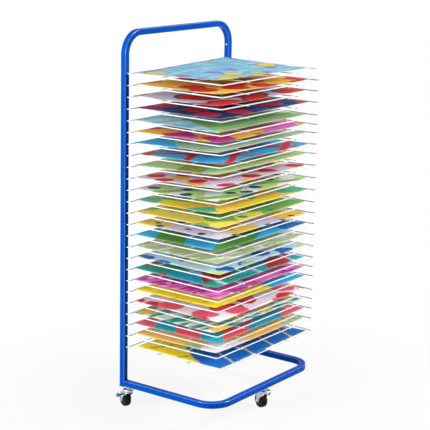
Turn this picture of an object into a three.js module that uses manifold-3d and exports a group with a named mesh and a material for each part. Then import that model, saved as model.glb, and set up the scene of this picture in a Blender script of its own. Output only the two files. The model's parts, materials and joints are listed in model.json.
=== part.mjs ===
// Mobile art drying rack: a hoop of square steel tube on a U-shaped base with three castors,
// carrying wire shelves that hook into slots in the two uprights.
// Millimetres. X is the width, Y runs from front (-) to back (+), Z is up from the floor.
import * as THREE from "three";
import { mergeVertices } from "three/addons/utils/BufferGeometryUtils.js";
import Module from "manifold-3d";

// Clearance between two pieces that seat on, or turn in, each other.
const clearance = 0.3;

// Square tube of the whole frame.
const tubeSize = 18;
const tubeWall = 1.5;
const tubeEdge = 2; // radius of the tube's outer edges
const tubeBend = 62; // radius of every bend, on the tube's centre line
const bendSteps = 6;

// Frame.
const uprightSpan = 500; // between the centre lines of the uprights
const baseReach = 343; // from the uprights' front face to the front of the base
const handleRise = 123; // from the top shelf's wire to the top of the handle
const handleLeg = 12; // straight run of the handle below each bend, which sits on the upright
const spigotWall = 1.2; // wall of the uprights' reduced ends
const spigotNeck = 3;
const buttonRadius = 3; // spring button that locks the handle
const buttonFlange = 1;
const buttonDome = 1.2;
const buttonCrown = 2; // radius of the flat on the button's dome
const footPlugHead = 1.5;
const footPlugDepth = 12;

// Wire shelves.
const shelfCount = 25;
const shelfPitch = 34;
const shelfDepth = 335; // from the uprights' front face to the front wire's centre
const bottomShelfRise = 105; // from the top of the base to the lowest shelf's wire
const frameWire = 3.5; // diameter of the wire that runs round a shelf
const crossWire = 3; // diameter of the wires that fill it
const frameWireSides = 6;
const crossWireSides = 4;
const wireOverhang = 1; // free ends of the depth wires
const weldSink = 0.3; // how far crossing wires are pressed together at a weld
const shelfCorner = 3; // inside radius of the front corners
const cornerSteps = 2;
const rearCrossSetback = 8; // rear cross wire, ahead of the uprights
const middleCrossWires = 2;
const depthWireOffset = 125; // each depth wire, from the middle of the shelf
const hookRise = 10; // height of the hook behind the tube wall
const hookBend = 1; // inside radius
const hookSteps = 1;
const hookGap = 0.6; // play between a hook and the tube wall
const slotSide = 0.5; // play beside a wire in its slot
const slotHeadroom = 7; // top of a slot, above the wire's centre

// How far each shelf hangs up (+) or down (-) in its loose slots, in degrees, from the top shelf down.
const shelfTilts = [
  -0.3, -0.3, -0.1, -0.2, -1.0, 0.0, 1.4, 1.2, 2.2, 1.7, 0.9, 0.2, -0.5,
  -0.5, -0.4, -0.6, -0.8, -1.2, -0.5, 0.3, -1.4, -0.6, -0.1, 0.2, -0.7,
];

// Castors, from the floor up.
const wheelRadius = 23;
const tyreWidth = 18;
const tyreTread = 10; // flat width of the tread
const tyreShoulder = 4; // height of the rounded shoulder
const rimRadius = 14.5; // seat of the tyre on the hub
const hubWidth = 16;
const bossRadius = 7;
const wheelSides = 24;
const roundSides = 10;
const hubSides = 16;
const castorTrail = 18; // axle behind the swivel
const forkGap = 2.5; // between tyre and fork leg
const forkSheet = 2;
const hoodGap = 2.5; // between tyre and hood
const hoodLip = 6;
const hoodBrow = 4; // where the hood's lower edge starts to fall away to the legs, ahead of the swivel
const legTip = 6.5; // radius of a leg's end round the axle
const raceRadius = 13;
const raceThickness = 1.5;
const kingPinRadius = 4.5;
const kingPinHeadRadius = 7;
const kingPinHead = 2.5;
const cupRadius = 17;
const cupHeight = 6.5;
const cupEdge = 2;
const collarRadius = 7;
const collarHeight = 5.3;
const stemRadius = 4;
const stemLength = 11; // threaded stem above the insert's flange
const insertWall = 1.1;
const insertFlangeRadius = 8;
const insertFlange = 1;
const insertLength = 10;
const rearCastorSetback = 9.5; // rear stems, ahead of the uprights' front face
const axleRadius = 3;
const axleHeadRadius = 5.5;
const axleHead = 3.5;
const axleNutRadius = 5.2;
const axleNut = 4.5;
const axleTail = 1.5; // thread that shows beyond the nut
const lockPinRadius = 2.5;
const lockBallRadius = 6;
const ballRings = 6;
const lockNeck = 7; // bare pin between fork leg and ball
const lockAhead = 2; // pin ahead of the axle
const lockRise = 16; // pin above the axle

// Where the castors stand, which way each wheel trails, and the side its lock is on.
const castors = [
  { name: "rear_left", across: -1, front: false, turn: -22, lockSide: -1 },
  { name: "rear_right", across: 1, front: false, turn: 22, lockSide: 1 },
  { name: "front", across: 0, front: true, turn: -20, lockSide: 1 },
];

// Levels and places that follow from the sizes above.
const tubeBore = tubeSize - 2 * tubeWall;
const hoodUnder = 2 * wheelRadius + hoodGap;
const hoodTop = hoodUnder + forkSheet;
const raceTop = hoodTop + clearance + raceThickness;
const cupUnder = raceTop + clearance;
const collarUnder = cupUnder + cupHeight;
const collarTop = collarUnder + collarHeight;
const flangeTop = collarTop + clearance + insertFlange;
const baseUnder = flangeTop + clearance;
const baseTop = baseUnder + tubeSize;
const bottomShelf = baseTop + bottomShelfRise;
const topShelf = bottomShelf + (shelfCount - 1) * shelfPitch;
const handleTop = topShelf + handleRise;
const handleSeam = handleTop - tubeSize / 2 - tubeBend - handleLeg;
const sideX = uprightSpan / 2;
const spigotSize = tubeBore - 2 * clearance;
const spigotBore = spigotSize - 2 * spigotWall;
const spigotLength = handleLeg - clearance;
const legInner = tyreWidth / 2 + forkGap;
const legOuter = legInner + forkSheet;

const bluePaint = new THREE.MeshStandardMaterial({ color: 0x0a56cf, roughness: 0.38, metalness: 0 });
const whiteCoat = new THREE.MeshStandardMaterial({ color: 0xf2f3f4, roughness: 0.45, metalness: 0 });
const zinc = new THREE.MeshStandardMaterial({ color: 0xb9c0c6, roughness: 0.28, metalness: 1 });
const darkSteel = new THREE.MeshStandardMaterial({ color: 0x5a6470, roughness: 0.3, metalness: 1 });
const rubber = new THREE.MeshStandardMaterial({ color: 0x141416, roughness: 0.7, metalness: 0 });
const blackPlastic = new THREE.MeshStandardMaterial({ color: 0x1b1c1f, roughness: 0.5, metalness: 0 });
const nylon = new THREE.MeshStandardMaterial({ color: 0x3a3d40, roughness: 0.6, metalness: 0 });

const wasm = await Module();
wasm.setup();
const mergeTolerance = 1e-3;

// A closed geometry as a solid that can be joined and cut.
function solidOf(geometry) {
  const bare = geometry.index ? geometry.toNonIndexed() : geometry.clone();
  bare.deleteAttribute("normal");
  bare.deleteAttribute("uv");
  const merged = mergeVertices(bare, mergeTolerance);
  return new wasm.Manifold(
    new wasm.Mesh({
      numProp: 3,
      vertProperties: merged.attributes.position.array,
      triVerts: new Uint32Array(merged.index.array),
    }),
  );
}

function geometryOf(solid) {
  const mesh = solid.getMesh();
  const geometry = new THREE.BufferGeometry();
  geometry.setAttribute("position", new THREE.BufferAttribute(mesh.vertProperties, mesh.numProp));
  geometry.setIndex(new THREE.BufferAttribute(mesh.triVerts, 1));
  geometry.computeVertexNormals();
  return geometry;
}

function join(geometries) {
  return geometries.map(solidOf).reduce((whole, next) => whole.add(next));
}

function cut(solid, geometries) {
  return geometries.map(solidOf).reduce((rest, tool) => rest.subtract(tool), solid);
}

// A path through stations that each hold a point and a direction, so a tube has rings only where it turns.
class StationPath extends THREE.Curve {
  constructor(stations) {
    super();
    this.stations = stations;
  }

  stationAt(t) {
    return this.stations[Math.round(t * (this.stations.length - 1))];
  }

  getPoint(t, target = new THREE.Vector3()) {
    return target.copy(this.stationAt(t).point);
  }

  getTangent(t, target = new THREE.Vector3()) {
    return target.copy(this.stationAt(t).direction);
  }

  getUtoTmapping(u) {
    return u;
  }
}

// Straight runs between corner points, with a round bend of the given radius and steps at each inner corner.
function bentPath(corners, bends) {
  const direction = (from, to) => to.clone().sub(from).normalize();
  const last = corners.length - 1;
  const stations = [{ point: corners[0], direction: direction(corners[0], corners[1]) }];
  bends.forEach(({ radius, steps }, i) => {
    const along = direction(corners[i], corners[i + 1]);
    const after = direction(corners[i + 1], corners[i + 2]);
    const turn = along.angleTo(after);
    const inward = after.clone().addScaledVector(along, -along.dot(after)).normalize();
    const start = corners[i + 1].clone().addScaledVector(along, -radius * Math.tan(turn / 2));
    for (let k = 0; k <= steps; k++) {
      const angle = (turn * k) / steps;
      stations.push({
        point: start
          .clone()
          .addScaledVector(along, radius * Math.sin(angle))
          .addScaledVector(inward, radius * (1 - Math.cos(angle))),
        direction: along
          .clone()
          .multiplyScalar(Math.cos(angle))
          .addScaledVector(inward, Math.sin(angle)),
      });
    }
  });
  stations.push({ point: corners[last], direction: direction(corners[last - 1], corners[last]) });
  return new StationPath(stations);
}

function sweep(section, path) {
  const steps = path.stations.length - 1;
  return new THREE.ExtrudeGeometry(section, { steps, extrudePath: path, curveSegments: 1 });
}

function squareLoop(size) {
  const half = size / 2;
  const loop = new THREE.Path();
  loop.moveTo(-half, -half);
  loop.lineTo(half, -half);
  loop.lineTo(half, half);
  loop.lineTo(-half, half);
  loop.closePath();
  return loop;
}

// The frame's tube: a square with rounded edges and a square bore.
function tubeSection() {
  const flat = tubeSize / 2 - tubeEdge;
  const section = new THREE.Shape();
  section.moveTo(-flat, -tubeSize / 2);
  section.absarc(flat, -flat, tubeEdge, -Math.PI / 2, 0);
  section.absarc(flat, flat, tubeEdge, 0, Math.PI / 2);
  section.absarc(-flat, flat, tubeEdge, Math.PI / 2, Math.PI);
  section.absarc(-flat, -flat, tubeEdge, Math.PI, 1.5 * Math.PI);
  section.closePath();
  section.holes.push(squareLoop(tubeBore));
  return section;
}

function squareTube(size, bore, from, to) {
  const section = new THREE.Shape(squareLoop(size).getPoints());
  section.holes.push(squareLoop(bore));
  return new THREE.ExtrudeGeometry(section, { depth: to - from, bevelEnabled: false }).translate(0, 0, from);
}

// A regular polygon, given the diameter across its corners.
function polygonSection(diameter, sides) {
  const corner = (_, i) => {
    const angle = (2 * Math.PI * i) / sides;
    return new THREE.Vector2(Math.cos(angle), Math.sin(angle)).multiplyScalar(diameter / 2);
  };
  return new THREE.Shape(Array.from({ length: sides }, corner));
}

function fillingWire(from, to) {
  return sweep(polygonSection(crossWire, crossWireSides), bentPath([from, to], []));
}

// A box between two corners.
function block(low, high) {
  const size = high.map((v, i) => v - low[i]);
  const middle = high.map((v, i) => (v + low[i]) / 2);
  return new THREE.BoxGeometry(...size).translate(...middle);
}

// A round piece about Z from pairs of radius and height, listed from the bottom up.
function turned(profile, sides = roundSides) {
  const points = profile.map(([radius, height]) => new THREE.Vector2(radius, height));
  return new THREE.LatheGeometry(points, sides).rotateX(Math.PI / 2);
}

function rodZ(radius, from, to) {
  return turned([
    [0, from],
    [radius, from],
    [radius, to],
    [0, to],
  ]);
}

// Lays a piece made about Z along X, with its top towards +X.
function alongX(geometry) {
  return geometry.rotateY(Math.PI / 2);
}

function rodX(radius, from, to) {
  return alongX(rodZ(radius, from, to));
}

const rack = new THREE.Group();

function addPiece(parent, name, geometry, material) {
  const mesh = new THREE.Mesh(geometry, material);
  mesh.name = name;
  parent.add(mesh);
  return mesh;
}

// Uprights: straight tubes with a slot for each shelf, a reduced top end and a plastic plug in the foot.
const shelfLevels = Array.from({ length: shelfCount }, (_, i) => topShelf - i * shelfPitch);
const buttonLevel = handleSeam + spigotLength / 2;

function uprightGeometry(side) {
  const shell = new THREE.ExtrudeGeometry(tubeSection(), {
    depth: handleSeam - baseUnder,
    bevelEnabled: false,
    curveSegments: 1,
  }).translate(0, 0, baseUnder);
  const neckUnder = handleSeam - spigotNeck;
  const neck = squareTube(tubeSize - tubeWall, spigotBore, neckUnder, handleSeam);
  const spigot = squareTube(spigotSize, spigotBore, neckUnder, handleSeam + spigotLength);
  const slotHalf = frameWire / 2 + slotSide;
  const slots = shelfLevels.map((level) =>
    block(
      [-slotHalf, -tubeSize / 2 - tubeWall, level - frameWire / 2 - clearance],
      [slotHalf, -tubeSize / 2 + 1.5 * tubeWall, level + slotHeadroom],
    ),
  );
  const buttonHole = rodX(buttonRadius + clearance, 0, tubeSize).rotateZ(side > 0 ? Math.PI : 0);
  buttonHole.translate(0, 0, buttonLevel);
  return geometryOf(cut(join([shell, neck, spigot]), [...slots, buttonHole]));
}

for (const [name, side] of [["left", -1], ["right", 1]]) {
  const upright = new THREE.Group();
  upright.position.set(side * sideX, tubeSize / 2, 0);
  rack.add(upright);
  addPiece(upright, `${name}_upright`, uprightGeometry(side), bluePaint);

  const plugHeadTop = baseUnder - clearance;
  const plugHead = block(
    [-tubeSize / 2, -tubeSize / 2, plugHeadTop - footPlugHead],
    [tubeSize / 2, tubeSize / 2, plugHeadTop],
  );
  const plugBody = block(
    [-spigotSize / 2, -spigotSize / 2, plugHeadTop - footPlugHead / 2],
    [spigotSize / 2, spigotSize / 2, plugHeadTop + footPlugDepth],
  );
  addPiece(upright, `foot_plug_${name}`, geometryOf(join([plugHead, plugBody])), blackPlastic);

  const flangeInner = spigotBore / 2 - clearance - buttonFlange;
  const button = turned([
    [0, flangeInner],
    [buttonRadius + buttonFlange, flangeInner],
    [buttonRadius + buttonFlange, flangeInner + buttonFlange],
    [buttonRadius, flangeInner + buttonFlange],
    [buttonRadius, tubeSize / 2 + buttonDome / 2],
    [buttonCrown, tubeSize / 2 + buttonDome],
    [0, tubeSize / 2 + buttonDome],
  ]);
  const buttonPiece = addPiece(upright, `handle_button_${name}`, alongX(button), zinc);
  buttonPiece.rotation.z = side > 0 ? Math.PI : 0;
  buttonPiece.position.z = buttonLevel;
}

// Handle: one tube bent to an inverted U, pushed over the uprights' reduced ends.
const handleFoot = handleSeam + clearance;
const handleLine = handleTop - tubeSize / 2;
const frameBends = [
  { radius: tubeBend, steps: bendSteps },
  { radius: tubeBend, steps: bendSteps },
];
const handlePath = bentPath(
  [
    new THREE.Vector3(-sideX, tubeSize / 2, handleFoot),
    new THREE.Vector3(-sideX, tubeSize / 2, handleLine),
    new THREE.Vector3(sideX, tubeSize / 2, handleLine),
    new THREE.Vector3(sideX, tubeSize / 2, handleFoot),
  ],
  frameBends,
);
const innerWall = sideX - tubeSize / 2 + tubeWall / 2;
const handleHoles = [-1, 1].map((side) =>
  rodX(buttonRadius + clearance, -tubeWall, tubeWall).translate(side * innerWall, tubeSize / 2, buttonLevel),
);
const handle = cut(solidOf(sweep(tubeSection(), handlePath)), handleHoles);
addPiece(rack, "top_handle", geometryOf(handle), bluePaint);

// Base: one tube bent to a U, welded to the uprights' front faces and bored for the castors' inserts.
const baseLine = baseUnder + tubeSize / 2;
const frontLine = -baseReach + tubeSize / 2;
const basePath = bentPath(
  [
    new THREE.Vector3(-sideX, -clearance, baseLine),
    new THREE.Vector3(-sideX, frontLine, baseLine),
    new THREE.Vector3(sideX, frontLine, baseLine),
    new THREE.Vector3(sideX, -clearance, baseLine),
  ],
  frameBends,
);
const castorPlaces = castors.map(({ across, front }) => [
  across * sideX,
  front ? frontLine : -rearCastorSetback,
]);
const insertRadius = stemRadius + clearance + insertWall;
const insertHoles = castorPlaces.map(([x, y]) =>
  rodZ(insertRadius + clearance, baseUnder - tubeWall, baseUnder + 1.5 * tubeWall).translate(x, y, 0),
);
const base = cut(solidOf(sweep(tubeSection(), basePath)), insertHoles);
addPiece(rack, "base_frame", geometryOf(base), bluePaint);

// Shelves: a bent frame wire whose ends hook up behind the tube wall, with cross and depth wires welded in.
// A shelf's own origin is where its wire bears on the slot's inner edge, the line that it tips about.
function shelfGeometry() {
  const hookLine = hookGap + frameWire / 2;
  const frontWire = -tubeWall - shelfDepth;
  const wireLevel = frameWire / 2;
  const at = (x, y, z) => new THREE.Vector3(x, y, z);
  const framePath = bentPath(
    [
      at(-sideX, hookLine, wireLevel + hookRise),
      at(-sideX, hookLine, wireLevel),
      at(-sideX, frontWire, wireLevel),
      at(sideX, frontWire, wireLevel),
      at(sideX, hookLine, wireLevel),
      at(sideX, hookLine, wireLevel + hookRise),
    ],
    [
      { radius: hookBend + frameWire / 2, steps: hookSteps },
      { radius: shelfCorner + frameWire / 2, steps: cornerSteps },
      { radius: shelfCorner + frameWire / 2, steps: cornerSteps },
      { radius: hookBend + frameWire / 2, steps: hookSteps },
    ],
  );
  const wires = [sweep(polygonSection(frameWire, frameWireSides), framePath)];
  const crossLevel = crossWire / 2;
  const rearCross = -tubeWall - rearCrossSetback;
  for (let i = 0; i <= middleCrossWires; i++) {
    const y = rearCross + ((frontWire - rearCross) * i) / (middleCrossWires + 1);
    wires.push(fillingWire(at(-sideX, y, crossLevel), at(sideX, y, crossLevel)));
  }
  const depthLevel = weldSink - crossWire / 2;
  const depthBack = rearCross + crossWire / 2 + wireOverhang;
  const depthFront = frontWire - frameWire / 2 - wireOverhang;
  for (const x of [-depthWireOffset, depthWireOffset]) {
    wires.push(fillingWire(at(x, depthBack, depthLevel), at(x, depthFront, depthLevel)));
  }
  return geometryOf(join(wires));
}

const shelf = shelfGeometry();
shelfLevels.forEach((level, i) => {
  const name = `shelf_${String(i + 1).padStart(2, "0")}`;
  const piece = addPiece(rack, name, shelf, whiteCoat);
  piece.position.set(0, tubeWall, level - frameWire / 2);
  piece.rotation.x = -THREE.MathUtils.degToRad(shelfTilts[i % shelfTilts.length]);
});

// Castor fork: pressed sheet, a round-nosed hood with two legs that taper to the axle.
function forkGeometry() {
  const profile = new THREE.Shape();
  profile.moveTo(-legOuter, hoodTop);
  profile.lineTo(-legOuter, hoodUnder - hoodLip / 2);
  profile.lineTo(-hoodBrow, hoodUnder - hoodLip);
  profile.lineTo(castorTrail - legTip, wheelRadius);
  profile.absarc(castorTrail, wheelRadius, legTip, Math.PI, 2 * Math.PI);
  profile.lineTo(castorTrail + legTip, hoodUnder - hoodLip);
  profile.lineTo(castorTrail + legTip / 2, hoodTop);
  profile.closePath();
  const side = new THREE.ExtrudeGeometry(profile, {
    depth: 2 * legOuter,
    bevelEnabled: false,
    curveSegments: 3,
  });
  // The profile's own X is the trail direction, +Y here, and its depth is the width across the wheel.
  side.translate(0, 0, -legOuter).rotateX(Math.PI / 2).rotateZ(Math.PI / 2);

  const plan = new THREE.Shape();
  plan.absarc(0, 0, legOuter, -Math.PI, 0);
  plan.lineTo(legOuter, castorTrail + legTip);
  plan.lineTo(-legOuter, castorTrail + legTip);
  plan.closePath();
  const outline = new THREE.ExtrudeGeometry(plan, { depth: hoodTop, bevelEnabled: false, curveSegments: 6 });

  const wheelSpace = block(
    [-legInner, -2 * legOuter, 0],
    [legInner, 2 * (castorTrail + legTip), hoodUnder],
  );
  const kingHole = rodZ(kingPinRadius + clearance, hoodUnder - forkSheet, hoodTop + forkSheet);
  const axleHole = rodX(axleRadius + clearance, -2 * legOuter, 2 * legOuter);
  axleHole.translate(0, castorTrail, wheelRadius);
  const lockHole = rodX(lockPinRadius + clearance, 0, 2 * legOuter);
  lockHole.translate(0, castorTrail - lockAhead, wheelRadius + lockRise);
  const pressed = solidOf(side).intersect(solidOf(outline));
  return geometryOf(cut(pressed, [wheelSpace, kingHole, axleHole, lockHole]));
}

// Rubber tyre with a flat tread; a flat of its facets rests on the floor.
function tyreGeometry() {
  const tread = wheelRadius / Math.cos(Math.PI / wheelSides);
  const half = tyreWidth / 2;
  const bore = rimRadius + clearance;
  const profile = [
    [bore, -half],
    [tread - tyreShoulder, -half],
    [tread, -tyreTread / 2],
    [tread, tyreTread / 2],
    [tread - tyreShoulder, half],
    [bore, half],
    [bore, -half],
  ];
  return alongX(turned(profile, wheelSides).rotateZ(Math.PI / wheelSides));
}

function hubGeometry() {
  const half = hubWidth / 2;
  const bossEnd = legInner - clearance;
  const bore = axleRadius + clearance;
  const profile = [
    [bore, -bossEnd],
    [bossRadius, -bossEnd],
    [bossRadius, -half],
    [rimRadius, -half],
    [rimRadius, half],
    [bossRadius, half],
    [bossRadius, bossEnd],
    [bore, bossEnd],
    [bore, -bossEnd],
  ];
  return alongX(turned(profile, hubSides));
}

function axleGeometry() {
  const headInner = legOuter + clearance;
  return alongX(
    turned([
      [0, -headInner - axleHead],
      [axleHeadRadius, -headInner - axleHead],
      [axleHeadRadius, -headInner],
      [axleRadius, -headInner],
      [axleRadius, headInner + axleNut + axleTail],
      [0, headInner + axleNut + axleTail],
    ]),
  );
}

function axleNutGeometry() {
  const hexagon = polygonSection(2 * axleNutRadius, 6);
  const bore = new THREE.Path();
  bore.absarc(0, 0, axleRadius + clearance, 0, 2 * Math.PI);
  hexagon.holes.push(bore);
  const nut = new THREE.ExtrudeGeometry(hexagon, {
    depth: axleNut,
    bevelEnabled: false,
    curveSegments: roundSides / 2,
  });
  return alongX(nut.translate(0, 0, legOuter + clearance));
}

// Lock: a pin with a ball knob that is pushed in through the fork leg against the tyre's side.
function lockGeometry() {
  const ballReach = legOuter + lockNeck + lockBallRadius;
  const pin = rodX(lockPinRadius, legInner, ballReach);
  const ball = new THREE.SphereGeometry(lockBallRadius, roundSides, ballRings).translate(ballReach, 0, 0);
  return geometryOf(join([pin, ball]));
}

function stemGeometry() {
  const kingPinHeadTop = hoodUnder - clearance;
  return turned([
    [0, kingPinHeadTop - kingPinHead],
    [kingPinHeadRadius, kingPinHeadTop - kingPinHead],
    [kingPinHeadRadius, kingPinHeadTop],
    [kingPinRadius, kingPinHeadTop],
    [kingPinRadius, cupUnder],
    [cupRadius, cupUnder],
    [cupRadius, collarUnder - cupEdge],
    [cupRadius - cupEdge, collarUnder],
    [collarRadius, collarUnder],
    [collarRadius, collarTop],
    [stemRadius, collarTop],
    [stemRadius, flangeTop + stemLength],
    [0, flangeTop + stemLength],
  ]);
}

function insertGeometry() {
  const bore = stemRadius + clearance;
  return turned([
    [bore, flangeTop - insertFlange],
    [insertFlangeRadius, flangeTop - insertFlange],
    [insertFlangeRadius, flangeTop],
    [insertRadius, flangeTop],
    [insertRadius, flangeTop + insertLength],
    [bore, flangeTop + insertLength],
    [bore, flangeTop - insertFlange],
  ]);
}

function raceGeometry() {
  const bore = kingPinRadius + clearance;
  const under = hoodTop + clearance;
  return turned([
    [bore, under],
    [raceRadius, under],
    [raceRadius, raceTop],
    [bore, raceTop],
    [bore, under],
  ]);
}

castors.forEach(({ name, turn, lockSide }, i) => {
  const [x, y] = castorPlaces[i];
  const fixed = new THREE.Group();
  fixed.position.set(x, y, 0);
  rack.add(fixed);
  addPiece(fixed, `castor_${name}_insert`, insertGeometry(), zinc);
  addPiece(fixed, `castor_${name}_stem`, stemGeometry(), zinc);

  const swivel = new THREE.Group();
  swivel.rotation.z = THREE.MathUtils.degToRad(turn);
  fixed.add(swivel);
  addPiece(swivel, `castor_${name}_race`, raceGeometry(), nylon);

  // The fork is made with its lock on +X, and turned over about the trail line for the other side.
  const fork = addPiece(swivel, `castor_${name}_fork`, forkGeometry(), zinc);
  fork.scale.x = lockSide;
  const lock = addPiece(swivel, `castor_${name}_lock`, lockGeometry(), darkSteel);
  lock.position.set(0, castorTrail - lockAhead, wheelRadius + lockRise);
  lock.scale.x = lockSide;

  const wheel = new THREE.Group();
  wheel.position.set(0, castorTrail, wheelRadius);
  swivel.add(wheel);
  addPiece(wheel, `castor_${name}_axle`, axleGeometry(), zinc);
  addPiece(wheel, `castor_${name}_axle_nut`, axleNutGeometry(), zinc);
  addPiece(wheel, `castor_${name}_hub`, hubGeometry(), blackPlastic);
  addPiece(wheel, `castor_${name}_tyre`, tyreGeometry(), rubber);
});

// The origin is on the floor, in the middle of the rack's box.
const extent = new THREE.Box3().setFromObject(rack, true);
const middle = extent.getCenter(new THREE.Vector3());
rack.children.forEach((piece) => piece.position.sub(new THREE.Vector3(middle.x, middle.y, 0)));

export default rack;
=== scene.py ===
import json
import math

import bmesh
import bpy
from mathutils import Matrix, Vector


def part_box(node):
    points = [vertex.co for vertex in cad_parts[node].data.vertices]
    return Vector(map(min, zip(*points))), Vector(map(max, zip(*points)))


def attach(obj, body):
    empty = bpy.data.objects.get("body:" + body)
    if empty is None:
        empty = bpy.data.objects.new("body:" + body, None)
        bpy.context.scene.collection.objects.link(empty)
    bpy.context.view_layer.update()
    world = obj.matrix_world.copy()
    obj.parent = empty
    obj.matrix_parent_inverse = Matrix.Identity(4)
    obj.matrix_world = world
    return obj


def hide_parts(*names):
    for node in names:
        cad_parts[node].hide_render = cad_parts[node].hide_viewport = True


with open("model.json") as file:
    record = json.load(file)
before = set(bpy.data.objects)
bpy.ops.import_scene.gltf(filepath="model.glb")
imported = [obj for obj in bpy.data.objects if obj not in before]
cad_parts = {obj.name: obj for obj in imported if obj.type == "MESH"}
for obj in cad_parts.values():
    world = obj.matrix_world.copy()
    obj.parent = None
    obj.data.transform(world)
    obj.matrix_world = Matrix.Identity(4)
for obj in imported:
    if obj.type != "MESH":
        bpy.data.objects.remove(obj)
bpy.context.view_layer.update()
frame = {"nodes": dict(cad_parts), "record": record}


# Uprights: two straight lengths of square steel tube, slotted down the front wall for the shelf hooks.
# Each is cut, punched and powder coated blue, and its top end is drawn down to slip into the handle.
class Shade:
    """One output in a material's node tree. Sums of shades become Math nodes."""

    def __init__(self, tree, socket=None):
        self.tree = tree
        self.socket = socket

    def make(self, kind, settings=None, inputs=None, output=0):
        """Adds a node, sets what it is set to, and then gives its sockets their values or links."""
        node = self.tree.nodes.new("ShaderNode" + kind)
        for name, value in (settings or {}).items():
            setattr(node, name, value)
        for name, value in (inputs or {}).items():
            if isinstance(value, Shade):
                self.tree.links.new(value.socket, node.inputs[name])
            else:
                node.inputs[name].default_value = value
        return Shade(self.tree, node.outputs[output])

    def math(self, operation, first, second):
        return self.make("Math", {"operation": operation}, {0: first, 1: second})

    def __add__(self, other):
        return self.math("ADD", self, other)

    def __radd__(self, other):
        return self.math("ADD", other, self)

    def __sub__(self, other):
        return self.math("SUBTRACT", self, other)

    def __rsub__(self, other):
        return self.math("SUBTRACT", other, self)

    def __mul__(self, other):
        return self.math("MULTIPLY", self, other)

    def __rmul__(self, other):
        return self.math("MULTIPLY", other, self)


def tint(code):
    """A colour written as in a paint chart, in the linear values that a shader takes."""
    parts = [int(code[i : i + 2], 16) / 255 for i in (1, 3, 5)]
    return tuple([p / 12.92 if p <= 0.04045 else ((p + 0.055) / 1.055) ** 2.4 for p in parts] + [1.0])


def blended(surface, share, first, second, way="MIX"):
    settings = {"data_type": "RGBA", "blend_type": way}
    return surface.make("Mix", settings, {0: share, 6: first, 7: second}, 2)


def finished(name, constants, varying):
    """A material whose plain values are set on its shader and whose varying ones are linked to it."""
    material = bpy.data.materials.new(name)
    material.use_nodes = True
    tree = material.node_tree
    shader = tree.nodes["Principled BSDF"]
    for socket, value in constants.items():
        shader.inputs[socket].default_value = value
    for socket, shade in varying(Shade(tree)).items():
        tree.links.new(shade.socket, shader.inputs[socket])
    return material


def blue_coat_surface(surface):
    place = surface.make("TexCoord", output="Object")
    cloud = surface.make("TexNoise", None, {"Vector": place, "Scale": 11.0, "Detail": 3.0})
    peel = surface.make("TexNoise", None, {"Vector": place, "Scale": 820.0, "Detail": 1.0})
    handling_and_highlight = surface.make("TexNoise", None, {"Vector": place, "Scale": 60.0, "Detail": 5.0})
    edge = surface.make("Attribute", {"attribute_name": "edge"}, None, "Fac")
    coat = blended(surface, cloud, tint("#0045a4"), tint("#0050b6"))
    return {
        # The base colour is lightened toward pale blue over the rounded edges, a painted highlight, and
        # the noise varies how strong it is along the tube.
        "Base Color": blended(surface, edge * (0.4 + 0.25 * handling_and_highlight), coat, tint("#4f94f0")),
        "Roughness": 0.22 + 0.1 * cloud + 0.1 * handling_and_highlight - 0.08 * edge,
        "Coat Weight": edge,
        "Normal": surface.make("Bump", None, {"Strength": 0.1, "Distance": 0.0002, "Height": peel}),
    }


blue_coat_gloss = {"IOR": 1.5, "Specular IOR Level": 0.03, "Coat Roughness": 0.06, "Coat IOR": 1.6}
blue_coat = finished("blue_coat", blue_coat_gloss, blue_coat_surface)


def closed_mesh(name, points, faces):
    """A mesh of closed shells, with every face turned outward."""
    mesh = bpy.data.meshes.new(name)
    mesh.from_pydata([tuple(p) for p in points], [], faces)
    shape = bmesh.new()
    shape.from_mesh(mesh)
    bmesh.ops.recalc_face_normals(shape, faces=shape.faces)
    shape.to_mesh(mesh)
    shape.free()
    return mesh


def piece(name, points, faces, material, body, node=None, crease=35.0, edges=None):
    """A mesh piece in the rack's frame that rides on a body and may stand for a solid."""
    mesh = closed_mesh(name, points, faces)
    if edges:
        mesh.attributes.new("edge", "FLOAT", "POINT").data.foreach_set("value", edges)
    return placed(name, mesh, material, body, node, crease)


def placed(name, mesh, material, body, node=None, crease=35.0):
    """A finished mesh set in the scene, smooth but for edges sharper than the crease."""
    mesh.polygons.foreach_set("use_smooth", [True] * len(mesh.polygons))
    mesh.set_sharp_from_angle(angle=math.radians(crease))
    mesh.materials.clear()
    mesh.materials.append(material)
    made = bpy.data.objects.new(name, mesh)
    bpy.context.scene.collection.objects.link(made)
    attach(made, body)
    if node:
        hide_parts(node)
    return made


def strip(first, second, count):
    """The faces between two rings of points, given the number of each ring's first point."""
    faces = []
    for j in range(count):
        k = (j + 1) % count
        faces.append((first + j, first + k, second + k, second + j))
    return faces


def square_ring(half, edge, split):
    """A square section with rounded edges, with two more points on its front side for a slot."""
    ring = [(-split, -half), (split, -half)]
    flat = half - edge
    for corner, (x, y) in enumerate(((1, -1), (1, 1), (-1, 1), (-1, -1))):
        for step in range(5):
            turn = math.radians(90 * corner - 90 + 22.5 * step)
            ring.append((x * flat + edge * math.cos(turn), y * flat + edge * math.sin(turn)))
    return ring


# How far each point of such a section is over a rounded edge; this drives the coat's gloss and a painted
# highlight along the edges.
square_edges = [0.0, 0.0] + [0.0, 0.8, 1.0, 0.8, 0.0] * 4

tube_half = 0.009
tube_wall = 0.0015
tube_edge = 0.002
slot_half = 0.00225
slot_below = 0.0003
slot_height = 0.00905
spigot_half = 0.0072
spigot_edge = 0.0012
spigot_overlap = 0.004
handle_gap = 0.0003
handle_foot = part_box("top_handle")[0][2]
upright_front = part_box("left_upright")[0][1]
joints = {joint["name"]: joint for joint in frame["record"]["behaviour"]["joints"]}
shelf_names = [f"shelf_{number:02d}" for number in range(1, 26)]
shelf_pivots = {name: Vector(joints[name + "_tip"]["pos_m"]) for name in shelf_names}

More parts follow.
